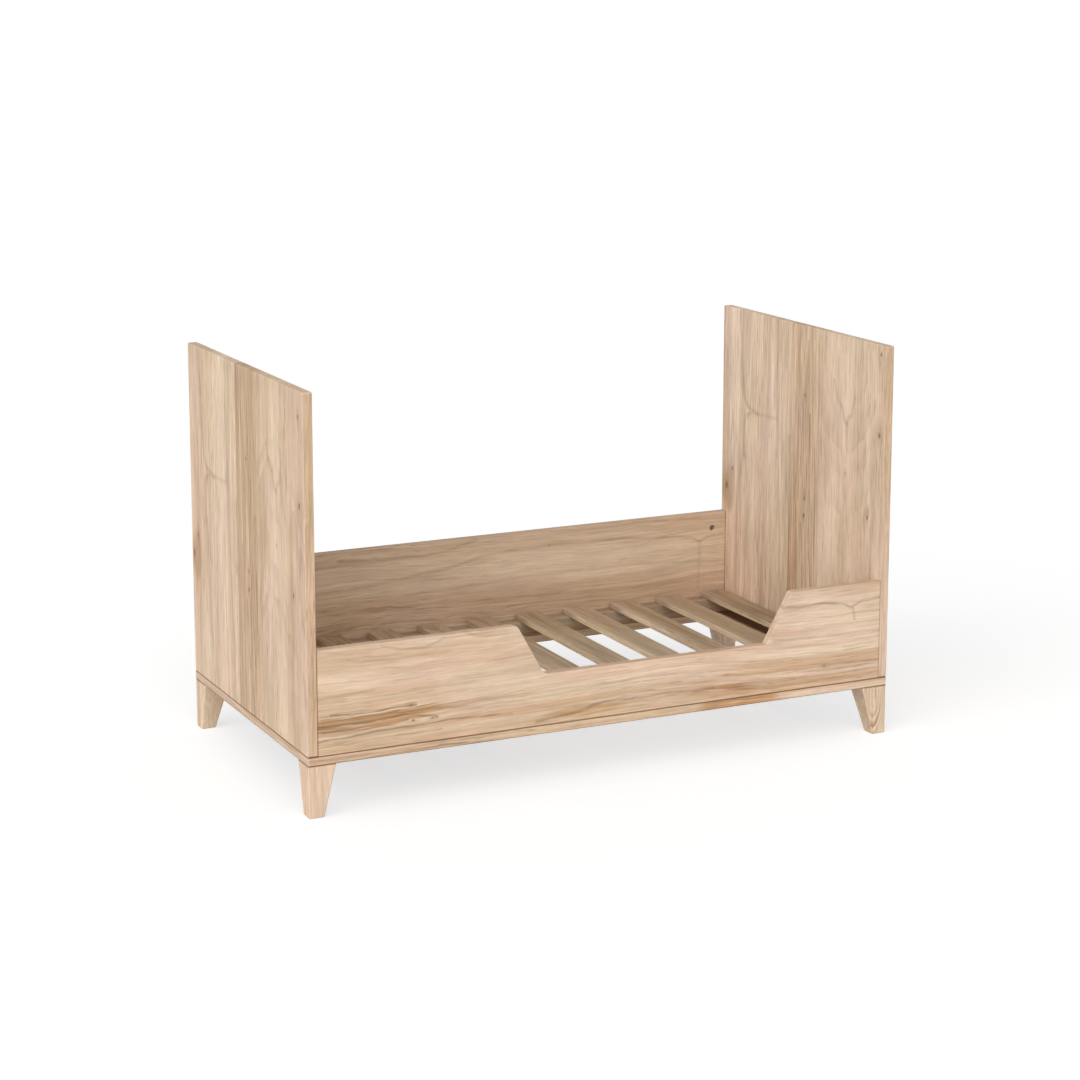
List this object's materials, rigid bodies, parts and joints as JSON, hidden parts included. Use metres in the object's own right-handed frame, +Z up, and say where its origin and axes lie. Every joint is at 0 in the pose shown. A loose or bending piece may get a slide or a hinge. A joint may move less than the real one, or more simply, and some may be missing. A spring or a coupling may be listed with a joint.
{
  "type": "junior bed",
  "caption": "Low wooden junior bed with tall solid end panels, a guard board with an entry cut-out, a slatted mattress deck and short tapered legs.",
  "frame": {"origin": "centre of the bed's footprint, on the floor under the feet", "axes": "+X along the bed to the end panel nearer the entry, -Y out of the open entry side, +Z up"},
  "size_m": [1.464, 0.764, 0.934],
  "materials": {
    "panel_wood": "satin clear lacquer on oak-like veneer, vertical grain",
    "board_wood": "satin clear lacquer on oak-like veneer, grain along the board",
    "frame_wood": "satin clear lacquer, grain along each strip",
    "leg_wood": "satin clear lacquer, upright grain",
    "slat_wood": "plain sanded wood, grain along each slat",
    "dowel_wood": "raw beech",
    "zinc": "die-cast zinc, dull",
    "screw_steel": "zinc-plated steel"
  },
  "bodies": {
    "root": {"left_end_panel": "panel_wood", "right_end_panel": "panel_wood", "front_guard_board": "board_wood", "back_board": "board_wood", "base_strip_front": "frame_wood", "base_strip_back": "frame_wood", "base_strip_left": "frame_wood", "base_strip_right": "frame_wood", "leg_front_left": "leg_wood", "leg_front_right": "leg_wood", "leg_back_left": "leg_wood", "leg_back_right": "leg_wood", "slat_rail_front": "slat_wood", "slat_rail_back": "slat_wood", "slat_01": "slat_wood", "slat_02": "slat_wood", "slat_03": "slat_wood", "slat_04": "slat_wood", "slat_05": "slat_wood", "slat_06": "slat_wood", "slat_07": "slat_wood", "slat_08": "slat_wood", "slat_09": "slat_wood", "slat_10": "slat_wood", "slat_11": "slat_wood", "board_dowels": "dowel_wood", "base_dowels": "dowel_wood", "mitre_dowels": "dowel_wood", "cam_locks": "zinc", "cam_bolts": "zinc", "board_screws": "screw_steel", "rail_screws": "screw_steel", "leg_screws": "screw_steel", "slat_screws": "screw_steel"}
  },
  "joints": []
}
